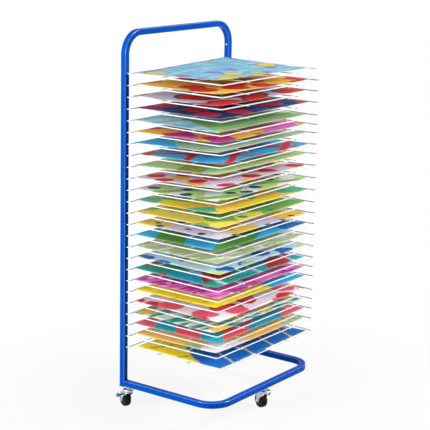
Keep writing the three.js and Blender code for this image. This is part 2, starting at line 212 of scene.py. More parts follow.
tube_ring = square_ring(tube_half, tube_edge, slot_half)
bore_ring = square_ring(tube_half - tube_wall, tube_edge - tube_wall, slot_half)
spigot = square_ring(spigot_half, spigot_edge, slot_half)
ring_size = len(tube_ring)

for side in ("left", "right"):
    low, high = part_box(side + "_upright")
    middle = Vector(((low[0] + high[0]) / 2, upright_front + tube_half, 0))
    levels = [low[2]]
    for name in reversed(shelf_names):
        foot = shelf_pivots[name].z - slot_below
        levels += [foot, foot + slot_height]
    levels.append(handle_foot - handle_gap)
    points = []
    for z in levels:
        points += [middle + Vector((x, y, z)) for x, y in tube_ring + bore_ring]
    edges = (square_edges + [0.0] * ring_size) * len(levels) + [0.0] * 2 * ring_size
    faces = []
    for step in range(len(levels) - 1):
        a = step * 2 * ring_size
        b = a + 2 * ring_size
        punched = step % 2 == 1
        for j in range(ring_size):
            k = (j + 1) % ring_size
            if punched and j == 0:
                faces.append((a, b, b + ring_size, a + ring_size))
                faces.append((a + 1, a + ring_size + 1, b + ring_size + 1, b + 1))
                faces.append((a, a + ring_size, a + ring_size + 1, a + 1))
                faces.append((b, b + 1, b + ring_size + 1, b + ring_size))
                continue
            faces.append((a + j, a + k, b + k, b + j))
            faces.append((a + ring_size + j, b + ring_size + j, b + ring_size + k, a + ring_size + k))
    last = (len(levels) - 1) * 2 * ring_size
    faces += strip(0, ring_size, ring_size) + strip(last, last + ring_size, ring_size)
    # The drawn-down end that the handle slips over.
    start = len(points)
    for z in (levels[-1] - spigot_overlap, high[2]):
        points += [middle + Vector((x, y, z)) for x, y in spigot]
    faces += strip(start, start + ring_size, ring_size)
    faces.append(tuple(start + j for j in range(ring_size)))
    faces.append(tuple(start + ring_size + j for j in range(ring_size)))
    tube = side + "_slotted_tube"
    piece(tube, points, faces, blue_coat, "frame", side + "_upright", edges=edges)


# Handle: one tube bent to an inverted U and pushed over the drawn ends of the uprights.
# The bends are cold, so their inner wall is dished a little; a spring button locks each leg.
def bent_line(corners, radius, steps):
    """Points and directions along straight runs with a round bend at each inner corner."""
    stations = [(corners[0], (corners[1] - corners[0]).normalized(), 0.0)]
    for before, corner, after in zip(corners, corners[1:], corners[2:]):
        along = (corner - before).normalized()
        onward = (after - corner).normalized()
        turn = along.angle(onward)
        inward = (onward - along * along.dot(onward)).normalized()
        start = corner - along * radius * math.tan(turn / 2)
        for step in range(steps + 1):
            angle = turn * step / steps
            point = start + along * radius * math.sin(angle) + inward * radius * (1 - math.cos(angle))
            heading = along * math.cos(angle) + inward * math.sin(angle)
            stations.append((point, heading, math.sin(math.pi * step / steps)))
    stations.append((corners[-1], (corners[-1] - corners[-2]).normalized(), 0.0))
    return stations


bend_radius = 0.062
bend_steps = 20
bend_dish = 0.0007


def swept(stations, ring, across):
    """A section carried along a line; across stays square to the line, which lies in one plane."""
    points = []
    for point, heading, dish in stations:
        inward = across.cross(heading)
        for x, y in ring:
            dent = dish * bend_dish if y > 0 and abs(x) < tube_half - tube_edge else 0.0
            points.append(point + across * x + inward * (y - dent))
    faces = []
    for step in range(len(stations) - 1):
        faces += strip(step * ring_size, (step + 1) * ring_size, ring_size)
    return points, faces


def open_tube(stations, across):
    """A square tube with its bore, open at both ends."""
    points, faces = swept(stations, tube_ring, across)
    bore_points, bore_faces = swept(stations, bore_ring, across)
    start = len(points)
    faces += [tuple(start + i for i in face) for face in bore_faces]
    last = start - ring_size
    faces += strip(0, start, ring_size) + strip(last, start + last, ring_size)
    edges = square_edges * len(stations) + [0.0] * len(bore_points)
    return points + bore_points, faces, edges


side_x = (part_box("right_upright")[0][0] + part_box("right_upright")[1][0]) / 2
handle_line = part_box("top_handle")[1][2] - tube_half
tube_y = upright_front + tube_half
handle_corners = [
    Vector((-side_x, tube_y, handle_foot)),
    Vector((-side_x, tube_y, handle_line)),
    Vector((side_x, tube_y, handle_line)),
    Vector((side_x, tube_y, handle_foot)),
]
points, faces, edges = open_tube(bent_line(handle_corners, bend_radius, bend_steps), Vector((0, 1, 0)))
piece("bent_handle", points, faces, blue_coat, "frame", "top_handle", edges=edges)


def zinc_surface(surface):
    place = surface.make("TexCoord", output="Object")
    spangle = surface.make("TexVoronoi", None, {"Vector": place, "Scale": 260.0}, "Distance")
    rub = surface.make("TexNoise", None, {"Vector": place, "Scale": 90.0, "Detail": 4.0})
    scratch = surface.make("TexNoise", None, {"Vector": place, "Scale": 1500.0, "Detail": 2.0})
    return {
        "Base Color": blended(surface, spangle, tint("#d2d7dc"), tint("#a7b1bb")),
        "Roughness": 0.2 + 0.22 * rub,
        "Normal": surface.make("Bump", None, {"Strength": 0.08, "Distance": 0.0001, "Height": scratch}),
    }


bright_zinc = finished("bright_zinc", {"Metallic": 1.0}, zinc_surface)


def turned(profile, steps):
    """A round piece about Z from pairs of radius and height."""
    points = []
    rows = []
    for radius, height in profile:
        if radius < 1e-7:
            rows.append([len(points)] * steps)
            points.append(Vector((0, 0, height)))
            continue
        rows.append([len(points) + j for j in range(steps)])
        for j in range(steps):
            angle = 2 * math.pi * (j + 0.5) / steps
            points.append(Vector((radius * math.cos(angle), radius * math.sin(angle), height)))
    faces = []
    for first, second in zip(rows, rows[1:]):
        for j in range(steps):
            k = (j + 1) % steps
            corners = (first[j], first[k], second[k], second[j])
            faces.append(tuple(dict.fromkeys(corners)))
    return points, faces


button_level = (handle_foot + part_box("left_upright")[1][2]) / 2
button_profile = [(0.0, -0.0028), (0.004, -0.0028), (0.004, -0.002), (0.003, -0.0018)]
button_profile += [(0.003, 0.0004), (0.0027, 0.0008), (0.002, 0.0011), (0.001, 0.0012), (0.0, 0.0012)]
for side, sign in (("left", -1), ("right", 1)):
    points, faces = turned(button_profile, 24)
    place = Matrix.Translation((sign * (side_x - tube_half), tube_y, button_level))
    place = place @ Matrix.Rotation(-sign * math.pi / 2, 4, "Y")
    button = [place @ p for p in points]
    piece("spring_button_" + side, button, faces, bright_zinc, "frame", "handle_button_" + side)


# Base: one tube bent to a U that lies open to the back, butted to the uprights' front faces and welded.
# The weld is ground and coated over, and shows as a narrow raised bead round each butt.
base_line = (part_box("base_frame")[0][2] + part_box("base_frame")[1][2]) / 2
base_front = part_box("base_frame")[0][1] + tube_half
base_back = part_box("base_frame")[1][1]
base_corners = [
    Vector((-side_x, base_back, base_line)),
    Vector((-side_x, base_front, base_line)),
    Vector((side_x, base_front, base_line)),
    Vector((side_x, base_back, base_line)),
]
points, faces, edges = open_tube(bent_line(base_corners, bend_radius, bend_steps), Vector((0, 0, -1)))
piece("bent_base", points, faces, blue_coat, "frame", "base_frame", edges=edges)

bead_proud = 0.0002
bead_radius = 0.00085
bead_sides = 8
bead_spacing = 0.0012
bead_back = base_back - 0.0001
bead_ring = square_ring(tube_half + bead_proud, tube_edge, slot_half)
bead_line = []
for (x, y), (u, v) in zip(bead_ring, bead_ring[1:] + bead_ring[:1]):
    steps = max(1, round(math.hypot(u - x, v - y) / bead_spacing))
    bead_line += [(x + (u - x) * i / steps, y + (v - y) * i / steps) for i in range(steps)]

for side, sign in (("left", -1), ("right", 1)):
    points = []
    faces = []
    for i, (x, y) in enumerate(bead_line):
        out = Vector((x, 0, y)).normalized()
        thick = bead_radius + 0.00018 * math.sin(i * 1.9) + 0.0001 * math.sin(i * 0.7)
        centre = Vector((sign * side_x + x, bead_back, base_line + y))
        for j in range(bead_sides):
            angle = 2 * math.pi * j / bead_sides
            over = Vector((0, thick * math.sin(angle), 0))
            points.append(centre + out * thick * math.cos(angle) + over)
        onward = (i + 1) % len(bead_line)
        faces += strip(i * bead_sides, onward * bead_sides, bead_sides)
    piece("weld_bead_" + side, points, faces, blue_coat, "frame", None)


# Foot plugs: moulded black plastic caps pushed into the open lower ends of the uprights.
# Only their square heads show, from below.
def black_plastic_surface(surface):
    place = surface.make("TexCoord", output="Object")
    grain = surface.make("TexNoise", None, {"Vector": place, "Scale": 1300.0, "Detail": 2.0})
    wear = surface.make("TexNoise", None, {"Vector": place, "Scale": 70.0, "Detail": 4.0})
    return {
        "Base Color": blended(surface, wear, tint("#17181b"), tint("#2a2c30")),
        "Roughness": 0.38 + 0.2 * wear,
        "Normal": surface.make("Bump", None, {"Strength": 0.2, "Distance": 0.0001, "Height": grain}),
    }


black_plastic = finished("black_plastic", {"IOR": 1.47}, black_plastic_surface)


def dressed(node, material):
    """A solid that is shown as it is, with its own finish."""
    solid = frame["nodes"][node]
    solid.data.materials.clear()
    solid.data.materials.append(material)


for side in ("left", "right"):
    dressed("foot_plug_" + side, black_plastic)


# Shelves: white plastic-coated steel wire, bent and spot welded flat, one like the other.
# The side wires run back through the slots and hook up behind the tube wall,
# so each shelf hangs a little its own way.
def white_wire_surface(surface):
    place = surface.make("TexCoord", output="Object")
    cloud = surface.make("TexNoise", None, {"Vector": place, "Scale": 25.0, "Detail": 3.0})
    drips = surface.make("TexNoise", None, {"Vector": place, "Scale": 420.0, "Detail": 2.0})
    return {
        "Base Color": blended(surface, cloud, tint("#dadde0"), tint("#e9ebed")),
        "Roughness": 0.3 + 0.15 * cloud,
        "Normal": surface.make("Bump", None, {"Strength": 0.15, "Distance": 0.0003, "Height": drips}),
    }


white_wire = finished("white_wire", {"IOR": 1.48}, white_wire_surface)

wire_half = 0.00175
thin_half = 0.0015
shelf_depth = 0.335
shelf_front = -tube_wall - shelf_depth
rear_cross = -tube_wall - 0.008
cross_wires = 3
hook_line = 0.0006 + wire_half
hook_rise = 0.010
hook_bend = 0.001 + wire_half
corner_bend = 0.003 + wire_half
wire_bend_steps = 8
depth_wire_x = 0.125
depth_overhang = 0.001
weld_sink = 0.0003
end_spot_inset = 0.0022
end_spot = (0.00228, 0.00209, 0.001615)
depth_spot = (0.0018, 0.0018, 0.00144)


def round_ring(radius, sides):
    turns = [2 * math.pi * j / sides for j in range(sides)]
    return [(radius * math.cos(turn), radius * math.sin(turn)) for turn in turns]


def wire(stations, radius, sides=12):
    """A round wire along a line that may leave its plane, with slightly rounded cut ends."""
    points = []
    across = None
    for point, heading, _ in stations:
        if across is None:
            across = heading.orthogonal().normalized()
        across = (across - heading * across.dot(heading)).normalized()
        inward = heading.cross(across)
        points += [point + across * x + inward * y for x, y in round_ring(radius, sides)]
    rows = len(stations)
    faces = []
    for row in range(rows - 1):
        faces += strip(row * sides, (row + 1) * sides, sides)
    for row, way in ((0, -1), (rows - 1, 1)):
        point, heading, _ = stations[row]
        outward = heading * way * radius
        tip = point + outward * 0.35
        first = row * sides
        ring = [p.lerp(tip, 0.3) + outward * 0.2 for p in points[first : first + sides]]
        start = len(points)
        points += ring + [tip]
        faces += strip(first, start, sides)
        faces += [(start + j, start + (j + 1) % sides, start + sides) for j in range(sides)]
    return points, faces


def joined(parts):
    points = []
    faces = []
    for more_points, more_faces in parts:
        start = len(points)
        points += more_points
        faces += [tuple(start + i for i in face) for face in more_faces]
    return points, faces


def weld_spot(centre, reach):
    """The swelling that the coating leaves over a spot weld, with its reach along each axis."""
    points, faces = turned([(0.0, -1.0), (0.7, -0.7), (1.0, 0.0), (0.7, 0.7), (0.0, 1.0)], 10)
    swelling = Matrix.Diagonal(reach)
    return [centre + swelling @ p for p in points], faces


def bent_wire(corners, radii, steps):
    """Like bent_line, with a radius of its own for each bend."""
    stations = []
    for i, radius in enumerate(radii):
        stations += bent_line(corners[i : i + 3], radius, steps)[1:-1]
    first = (corners[0], (corners[1] - corners[0]).normalized(), 0.0)
    last = (corners[-1], (corners[-1] - corners[-2]).normalized(), 0.0)
    return [first] + stations + [last]


frame_corners = [
    Vector((-side_x, hook_line, wire_half + hook_rise)),
    Vector((-side_x, hook_line, wire_half)),
    Vector((-side_x, shelf_front, wire_half)),
    Vector((side_x, shelf_front, wire_half)),
    Vector((side_x, hook_line, wire_half)),
    Vector((side_x, hook_line, wire_half + hook_rise)),
]
frame_bends = [hook_bend, corner_bend, corner_bend, hook_bend]
parts = [wire(bent_wire(frame_corners, frame_bends, wire_bend_steps), wire_half)]
cross_lines = [rear_cross + (shelf_front - rear_cross) * i / cross_wires for i in range(cross_wires)]
for y in cross_lines:
    ends = [Vector((-side_x, y, thin_half)), Vector((side_x, y, thin_half))]
    parts.append(wire(bent_line(ends, 0.0, 1), thin_half))
    for sign in (-1, 1):
        spot = Vector((sign * (side_x - end_spot_inset), y, thin_half))
        parts.append(weld_spot(spot, end_spot))
depth_level = weld_sink - thin_half
for x in (-depth_wire_x, depth_wire_x):
    ends = [
        Vector((x, rear_cross + thin_half + depth_overhang, depth_level)),
        Vector((x, shelf_front - wire_half - depth_overhang, depth_level)),
    ]
    parts.append(wire(bent_line(ends, 0.0, 1), thin_half))
    for y in cross_lines + [shelf_front]:
        parts.append(weld_spot(Vector((x, y, weld_sink * 0.5)), depth_spot))
points, faces = joined(parts)

# How far the front of each shelf stands up from level, in degrees, from the top shelf down.
shelf_tilts = [-0.3, -0.3, -0.1, -0.2, -1.0, 0.0, 1.4, 1.2, 2.2, 1.7, 0.9, 0.2, -0.5]
shelf_tilts += [-0.5, -0.4, -0.6, -0.8, -1.2, -0.5, 0.3, -1.4, -0.6, -0.1, 0.2, -0.7]
shelf_places = {}
for name, tilt in zip(shelf_names, shelf_tilts):
    place = Matrix.Translation(shelf_pivots[name]) @ Matrix.Rotation(-math.radians(tilt), 4, "X")
    shelf_places[name] = place
    piece(name + "_wires", [place @ p for p in points], faces, white_wire, name, name)


# Sheets: the work that dries on the rack, one sheet of heavy paper to a shelf, laid loose on the wires.
# Each is brushed or dabbed with poster paint in a few colours, and its free edges curl as it dries.
def moved(paper, turn, seed):
    """The place on the sheet, turned and shifted, with the waver of a hand in it."""
    place = paper.make("TexCoord", output="Object")
    hand = paper.make("TexNoise", None, {"Vector": place, "Scale": 28.0, "Detail": 3.0}, "Color")
    waver = {0: hand, 1: (0.012, 0.012, 0.0), 2: place}
    place = paper.make("VectorMath", {"operation": "MULTIPLY_ADD"}, waver)
    shift = (0.37 * seed, 0.61 * seed, 0.0)
    settings = {"Vector": place, "Location": shift, "Rotation": (0, 0, math.radians(turn))}
    return paper.make("Mapping", None, settings)


def brushed_edge(paper, level, softness=0.03):
    inputs = {"Value": level, "From Min": -softness, "From Max": softness}
    return paper.make("MapRange", {"interpolation_type": "SMOOTHSTEP"}, inputs)


def dabs(paper, size, cover, turn, seed):
    """Round dabs of a loaded brush."""
    place = moved(paper, turn, seed)
    inputs = {"Vector": place, "Scale": 1 / size, "Randomness": 0.7}
    spots = paper.make("TexVoronoi", {"voronoi_dimensions": "2D"}, inputs, "Distance")
    wobble = paper.make("TexNoise", None, {"Vector": place, "Scale": 1.6 / size, "Detail": 2.0})
    return brushed_edge(paper, cover - spots + 0.3 * (wobble - 0.5))


def bands(paper, size, cover, turn, seed, distortion=3.5):
    """Long bands with a wavering edge."""
    place = moved(paper, turn, seed)
    inputs = {"Vector": place, "Scale": 0.314 / size, "Distortion": distortion, "Detail": 1.5}
    wave = paper.make("TexWave", {"wave_type": "BANDS"}, inputs | {"Detail Scale": 1.0}, "Fac")
    return brushed_edge(paper, cover - wave, 0.05)


def lines(paper, size, cover, turn, seed):
    """Long lines of a narrow brush."""
    return bands(paper, size, cover, turn, seed, 0.8)


def blocks(paper, size, cover, turn, seed):
    """Patches with straight edges."""
    place = moved(paper, turn, seed)
    inputs = {"Vector": place, "Scale": 1 / size, "Randomness": 0.3}
    settings = {"voronoi_dimensions": "2D", "distance": "CHEBYCHEV"}
    cell = paper.make("TexVoronoi", settings, inputs, "Color")
    value = paper.make("SeparateColor", None, {"Color": cell})
    return brushed_edge(paper, cover - value, 0.01)


def strokes(paper, size, cover, turn, seed):
    """Dry strokes of a flat brush, all one way."""
    place = moved(paper, turn, seed)
    long = paper.make("VectorMath", {"operation": "MULTIPLY"}, {0: place, 1: (1.0, 5.0, 1.0)})
    streak = paper.make("TexNoise", None, {"Vector": long, "Scale": 0.5 / size, "Detail": 3.0})
    return brushed_edge(paper, cover - streak, 0.04)


def field(paper, size, cover, turn, seed):
    """One end of the sheet, up to a line that runs across it."""
    across = paper.make("SeparateXYZ", None, {"Vector": moved(paper, turn, seed)})
    return brushed_edge(paper, across - cover, size)


paints = {
    "white": "#f2eff5",
    "lavender": "#ded6ec",
    "violet": "#8f80cc",
    "sky": "#84cdec",
    "pale_sky": "#c9e8f3",
    "azure": "#38b4ea",
    "blue": "#0c68c0",
    "navy": "#0d2c64",
    "ink": "#144468",
    "teal": "#1a9c88",
    "turquoise": "#22aac4",
    "mint": "#54ba94",
    "mist": "#bfd8cc",
    "sage": "#b4c894",
    "leaf": "#78b450",
    "fern": "#8fb67a",
    "moss": "#4f9430",
    "lime": "#c2dd8e",
    "olive": "#a2a420",
    "lemon": "#f8de2c",
    "sun": "#fde000",
    "amber": "#f6be3c",
    "sand": "#f8c66a",
    "gold": "#f6cc50",
    "straw": "#f1df60",
    "coral": "#f05c72",
    "red": "#df2a22",
    "crimson": "#d01838",
    "brick": "#b83038",
    "magenta": "#c22a98",
    "pink": "#e47cc8",
    "brown": "#74452a",
    "pine": "#26423e",
}


def painted_sheet(number, ground, layers):
    def surface(paper):
        place = paper.make("TexCoord", output="Object")
        wash = paper.make("TexNoise", None, {"Vector": place, "Scale": 34.0, "Detail": 6.0})
        tooth = paper.make("TexNoise", None, {"Vector": place, "Scale": 950.0, "Detail": 2.0})
        brush = moved(paper, 25.0, number)
        brush = paper.make("VectorMath", {"operation": "MULTIPLY"}, {0: brush, 1: (1.0, 7.0, 1.0)})
        hairs = paper.make("TexNoise", None, {"Vector": brush, "Scale": 45.0, "Detail": 4.0})
        bristle = brushed_edge(paper, hairs - 0.5, 0.22)
        colour = tint(paints[ground])
        for way, shade, size, cover, turn, seed in layers:
            mask = way(paper, size, cover, turn, seed)
            colour = blended(paper, mask, colour, tint(paints[shade]))
        thin = blended(paper, 0.35 * wash, colour, tint("#f4f1ea"), "SOFT_LIGHT")
        worked = blended(paper, 0.3 * bristle, thin, tint("#b0a8b0"), "MULTIPLY")
        relief = {"Strength": 0.25, "Distance": 0.0003, "Height": bristle + 0.5 * tooth}
        return {
            "Base Color": worked,
            "Roughness": 0.5 + 0.3 * wash,
            "Normal": paper.make("Bump", None, relief),
        }

    return finished(f"poster_paint_{number:02d}", {"IOR": 1.45, "Specular IOR Level": 0.25}, surface)


def bare_paper_surface(surface):
    place = surface.make("TexCoord", output="Object")
    fibre = surface.make("TexNoise", None, {"Vector": place, "Scale": 500.0, "Detail": 4.0})
    return {
        "Base Color": blended(surface, fibre, tint("#ece9e2"), tint("#f7f5f0")),
        "Roughness": 0.8 + 0.1 * fibre,
    }


bare_paper = finished("bare_paper", {"IOR": 1.45, "Specular IOR Level": 0.2}, bare_paper_surface)

sheet_wide = 0.457
sheet_deep = 0.305
sheet_thick = 0.0003
sheet_lift = 0.0005
sheet_middle = -tube_wall - 0.165
sheet_columns = 30
sheet_rows = 20
ripple = 0.0004
curl = 0.030
top_warp = 0.018
# Each painting is its ground and what is painted over it: the way, the paint, its size, its cover,
# the turn in degrees, and a seed.
paintings = [
    ("sky", [(strokes, "pale_sky", 0.05, 0.42, 8, 1), (field, "violet", 0.3, 0.36, 25, 0),
             (dabs, "violet", 0.15, 0.15, 10, 4), (dabs, "ink", 0.19, 0.19, 40, 7),
             (dabs, "lemon", 0.19, 0.165, 40, 7), (strokes, "teal", 0.03, 0.355, 70, 5)]),
    ("gold", [(dabs, "red", 0.13, 0.33, 15, 2)]),
    ("lavender", [(dabs, "pine", 0.16, 0.43, 20, 9), (dabs, "red", 0.16, 0.36, 20, 9)]),
    ("navy", [(strokes, "blue", 0.05, 0.42, 30, 4), (dabs, "crimson", 0.105, 0.36, 25, 7)]),
    ("sky", [(strokes, "pale_sky", 0.09, 0.5, 15, 5), (field, "fern", 0.004, -0.115, 28, 0),
             (strokes, "lime", 0.06, 0.36, 20, 8)]),
    ("magenta", [(blocks, "amber", 0.085, 0.4, 30, 6), (blocks, "pink", 0.085, 0.3, 60, 9)]),
    ("mist", [(strokes, "sage", 0.05, 0.5, 12, 10), (field, "azure", 0.006, 0.15, 225, 0),
              (strokes, "pine", 0.025, 0.34, 12, 7)]),
    ("azure", [(lines, "red", 0.125, 0.08, 65, 8), (lines, "red", 0.16, 0.07, 150, 11)]),
    ("lime", [(bands, "olive", 0.3, 0.3, 75, 9), (strokes, "sky", 0.05, 0.4, 20, 12),
              (strokes, "brown", 0.02, 0.31, 80, 6)]),
    ("lavender", [(dabs, "amber", 0.12, 0.27, 5, 10), (dabs, "crimson", 0.095, 0.3, 48, 13)]),
    ("white", [(lines, "lime", 0.1, 0.55, 60, 11), (lines, "leaf", 0.14, 0.12, 120, 9),
               (dabs, "ink", 0.09, 0.21, 45, 14)]),
    ("mint", [(blocks, "gold", 0.08, 0.48, 40, 12), (blocks, "lemon", 0.08, 0.2, 75, 15)]),
    ("straw", [(blocks, "leaf", 0.095, 0.46, 40, 13), (dabs, "teal", 0.11, 0.13, 5, 16)]),
    ("lavender", [(dabs, "gold", 0.17, 0.36, 30, 14), (strokes, "brown", 0.02, 0.33, 60, 20),
                  (dabs, "ink", 0.075, 0.14, 60, 17)]),
    ("azure", [(bands, "moss", 0.2, 0.45, 62, 15), (field, "blue", 0.006, 0.16, 20, 0)]),
    ("sage", [(strokes, "white", 0.06, 0.42, 15, 16), (strokes, "pine", 0.02, 0.33, 10, 19)]),
    ("pale_sky", [(dabs, "blue", 0.1, 0.3, 20, 18), (dabs, "lime", 0.12, 0.28, 10, 20)]),
    ("turquoise", [(bands, "brick", 0.18, 0.34, 50, 18), (bands, "teal", 0.22, 0.3, 100, 21),
                   (lines, "white", 0.17, 0.01, 20, 4)]),
    ("magenta", [(strokes, "pink", 0.06, 0.5, 20, 19), (dabs, "lavender", 0.09, 0.1, 10, 22)]),
    ("sun", [(field, "azure", 0.004, 0.1, 20, 0), (strokes, "brown", 0.03, 0.34, 20, 23)]),
    ("white", [(dabs, "crimson", 0.12, 0.34, 10, 26), (dabs, "coral", 0.105, 0.37, 60, 24)]),
    ("white", [(strokes, "teal", 0.05, 0.5, 15, 22), (dabs, "amber", 0.12, 0.27, 30, 25)]),
    ("coral", [(bands, "turquoise", 0.16, 0.46, 55, 23)]),
    ("white", [(blocks, "sage", 0.1, 0.32, 60, 27), (blocks, "sand", 0.1, 0.5, 35, 31)]),
    ("lemon", [(lines, "pine", 0.11, 0.01, 115, 6), (field, "blue", 0.004, -0.13, 40, 0),
               (lines, "lemon", 0.09, 0.008, 30, 25)]),
]
# How far each sheet lies to the right and to the back, in millimetres, and its turn in degrees.
sheet_shifts = [(-9, 6, 0.6), (0, 3, -0.5), (0, 11, 0.3), (0, 2, -0.9), (-10, 6, 0.4), (-4, 4, 0.7)]
sheet_shifts += [(-4, 5, -0.4), (7, -2, 0.2), (0, 3, -0.8), (-7, 0, 0.5), (-3, -3, 0.3), (5, 2, -0.3)]
sheet_shifts += [(-2, 1, 0.9), (3, -2, -0.6), (1, 2, 0.2), (-5, -1, -0.5), (6, 1, 0.4), (-1, 3, -0.2)]
sheet_shifts += [(-4, -2, 0.6), (2, 2, -0.7), (4, 0, 0.3), (-6, 2, -0.3), (0, -2, 0.5), (5, 1, -0.5)]
sheet_shifts += [(-4, -14, 0.4)]

for index, (name, (ground, layers)) in enumerate(zip(shelf_names, paintings)):
    # The top sheet has nothing over it and warps most.
    warp = top_warp if index == 0 else 0.0
    points = []
    for row in range(sheet_rows + 1):
        for column in range(sheet_columns + 1):
            u = column / sheet_columns - 0.5
            v = row / sheet_rows - 0.5
            rise = ripple * math.sin(7.0 * u + 1.3 * index) * math.sin(5.0 * v + 0.7 * index)
            rise += max(0.0, -v - 0.25) ** 2 * (curl + 0.008 * math.sin(2.1 * index + 4.0 * u))
            rise += max(0.0, abs(u) - 0.34) ** 2 * (curl + 0.010 * math.sin(1.7 * index))
            rise += max(0.0, warp * (0.14 + u * v))
            points.append(Vector((u * sheet_wide, v * sheet_deep, sheet_thick + sheet_lift + rise)))
    line = sheet_columns + 1
    faces = []
    for row in range(sheet_rows):
        for column in range(sheet_columns):
            a = row * line + column
            faces.append((a, a + 1, a + line + 1, a + line))
    paint = painted_sheet(index + 1, ground, layers)
    title = f"sheet_{index + 1:02d}"
    flat_mesh = bpy.data.meshes.new(title)
    flat_mesh.from_pydata([tuple(p) for p in points], [], faces)
    sheet = placed(title, flat_mesh, paint, name, crease=180.0)
    aside, behind, turn = sheet_shifts[index]
    rest = Matrix.Translation((aside / 1000, sheet_middle + behind / 1000, 2 * thin_half))
    sheet.matrix_world = shelf_places[name] @ rest @ Matrix.Rotation(math.radians(turn), 4, "Z")
    sheet.data.materials.append(bare_paper)
    body = sheet.modifiers.new("paper", "SOLIDIFY")
    body.thickness = sheet_thick
    body.offset = -1.0
    body.material_offset = 1
    body.material_offset_rim = 1


# Castor inserts and stems: a flanged insert is pressed into the rail, and the stem's bolt screws into it.
# The stem is turned and plated steel, with a hexagon for the spanner over the pressed cup of the swivel.
castor_names = ("rear_left", "rear_right", "front")
castor_places = {}
lock_sides = {}
for name in castor_names:
    stem_foot = joints[f"castor_{name}_turn"]["pos_m"]
    axle_way = Vector(joints[f"castor_{name}_roll"]["axis"])
    facing = Matrix.Rotation(math.atan2(axle_way.y, axle_way.x), 4, "Z")
    castor_places[name] = Matrix.Translation((stem_foot[0], stem_foot[1], 0)) @ facing
    push_way = Vector(joints[f"castor_{name}_lock_push"]["axis"])
    lock_sides[name] = -1 if push_way.dot(axle_way) > 0 else 1


def dark_nylon_surface(surface):
    place = surface.make("TexCoord", output="Object")
    grease = surface.make("TexNoise", None, {"Vector": place, "Scale": 160.0, "Detail": 4.0})
    return {
        "Base Color": blended(surface, grease, tint("#2b2d30"), tint("#45484c")),
        "Roughness": 0.3 + 0.35 * grease,
    }


dark_nylon = finished("dark_nylon", {"IOR": 1.5}, dark_nylon_surface)


def hexagon(radius, low, high, chamfer):
    """A spanner hexagon whose upper corners are turned down."""
    rings = [(radius, low), (radius, high - chamfer * 0.6), (radius - chamfer, high)]
    return turned([(0.0, low)] + rings + [(0.0, high)], 6)


cup_profile = [(0.0, 0.0457), (0.0056, 0.0457), (0.0066, 0.0461), (0.007, 0.0469), (0.007, 0.0482)]
cup_profile += [(0.0045, 0.0482), (0.0045, 0.0526), (0.0156, 0.0526), (0.0167, 0.053), (0.017, 0.0538)]
cup_profile += [(0.017, 0.0564), (0.0167, 0.0575), (0.0159, 0.0584), (0.0148, 0.059), (0.0136, 0.0591)]
cup_profile += [(0.0067, 0.0591), (0.0065, 0.0596), (0.004, 0.0596), (0.004, 0.0767), (0.0, 0.0767)]
collar = hexagon(0.007, 0.0592, 0.0644, 0.0008)

for name in castor_names:
    points, faces = joined([turned(cup_profile, 48), collar])
    stem = [castor_places[name] @ p for p in points]
    piece(f"stem_and_cup_{name}", stem, faces, bright_zinc, "frame", f"castor_{name}_stem")
    dressed(f"castor_{name}_insert", bright_zinc)
    dressed(f"castor_{name}_race", dark_nylon)


# Castor forks: a hood and two tapering legs pressed from one steel sheet, plated bright.
# The sheet's bends are round, its cut edges are broken, and the race sits on the flat of the hood.
def extruded(outline, low, high):
    """A flat outline given a height along Z."""
    points = [Vector((x, y, z)) for z in (low, high) for x, y in outline]
    count = len(outline)
    faces = [tuple(range(count)), tuple(range(count, 2 * count))]
    return points, faces + strip(0, count, count)


def blank(name, points, faces):
    """A solid for shaping only, which is not left in the scene."""
    made = bpy.data.objects.new(name, closed_mesh(name, points, faces))
    bpy.context.scene.collection.objects.link(made)
    return made


def worked(base, tool, operation):
    """Adds, cuts or keeps one blank by another, and uses the tool up."""
    change = base.modifiers.new("work", "BOOLEAN")
    change.operation = operation
    change.object = tool
    change.solver = "EXACT"
    graph = bpy.context.evaluated_depsgraph_get()
    shaped = bpy.data.meshes.new_from_object(base.evaluated_get(graph))
    base.modifiers.clear()
    base.data = shaped
    bpy.data.objects.remove(tool)
    return base


def rounded_top(base, level, radius, steps):
    """Rounds the edges round a flat top, as a press leaves them."""
    shape = bmesh.new()
    shape.from_mesh(base.data)
    bmesh.ops.dissolve_limit(shape, angle_limit=0.01, verts=shape.verts, edges=shape.edges)
    rims = []
    for edge in shape.edges:
        at_top = all(abs(vert.co.z - level) < 1e-5 for vert in edge.verts)
        if at_top and len(edge.link_faces) == 2 and edge.calc_face_angle() > 0.5:
            rims.append(edge)
    bmesh.ops.bevel(shape, geom=rims, offset=radius, segments=steps, profile=0.5, affect="EDGES")
    shape.to_mesh(base.data)
    shape.free()
    return base


wheel_radius = 0.023
trail = 0.018
leg_inner = 0.0115
leg_outer = 0.0135
hood_under = 0.0485
hood_top = 0.0505
leg_tip = 0.0065
hood_round = 0.0022
hood_inner_round = 0.001
king_hole = 0.0048
axle_hole = 0.0033
lock_hole = 0.0028
broken_edge = 0.00025
lock_place = Vector((0, trail - 0.002, wheel_radius + 0.016))
leg_outline = [(-leg_outer, hood_top), (-leg_outer, 0.0455), (-0.004, 0.0425), (0.003, 0.0388)]
leg_outline += [(0.0078, 0.0328), (trail - leg_tip - 0.0004, 0.0262)]
for step in range(13):
    angle = math.pi + math.pi * step / 12
    leg_outline.append((trail + leg_tip * math.cos(angle), wheel_radius + leg_tip * math.sin(angle)))
leg_outline += [(trail + leg_tip, 0.0425), (trail + 0.0057, 0.047), (trail + 0.0033, hood_top)]
spare = 0.001
hood_outline = []
for step in range(25):
    angle = math.pi + math.pi * step / 24
    hood_outline.append((leg_outer * math.cos(angle), leg_outer * math.sin(angle)))
hood_outline += [(leg_outer, trail + leg_tip + spare), (-leg_outer, trail + leg_tip + spare)]
space_outline = [(-leg_inner, -0.04), (leg_inner, -0.04), (leg_inner, 0.06), (-leg_inner, 0.06)]
sideways = Matrix.Rotation(math.pi / 2, 4, "Y")

